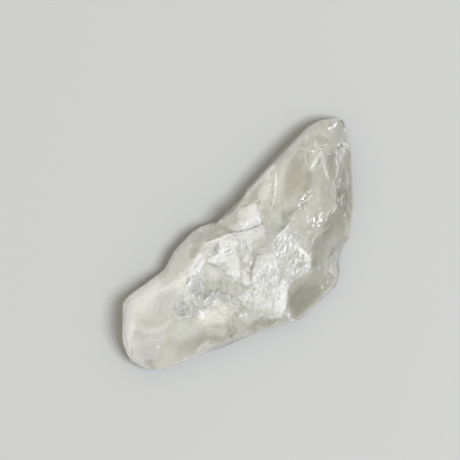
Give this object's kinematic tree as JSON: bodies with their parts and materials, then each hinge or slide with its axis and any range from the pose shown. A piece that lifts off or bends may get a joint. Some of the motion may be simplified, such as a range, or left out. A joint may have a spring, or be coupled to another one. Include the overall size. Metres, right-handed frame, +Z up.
{
  "type": "quartz crystal",
  "caption": "Rough broken shard of clear to milky quartz that lies on its flat underside, with ridges, conchoidal scars and a thin pointed end.",
  "frame": {"origin": "middle of the bounding box in X and Y, on the floor plane that the shard rests on", "axes": "+X along the shard's length, its thin end at +X; +Y across it, towards the side that stands steepest; +Z up from the face it rests on"},
  "size_m": [0.041, 0.0186, 0.0103],
  "materials": {
    "quartz": "clear to milky olive-grey quartz, glossy on the fresh breaks, frosted on the shoulder, white inside the cracks"
  },
  "bodies": {
    "root": {"quartz_crystal": "quartz"}
  },
  "joints": []
}
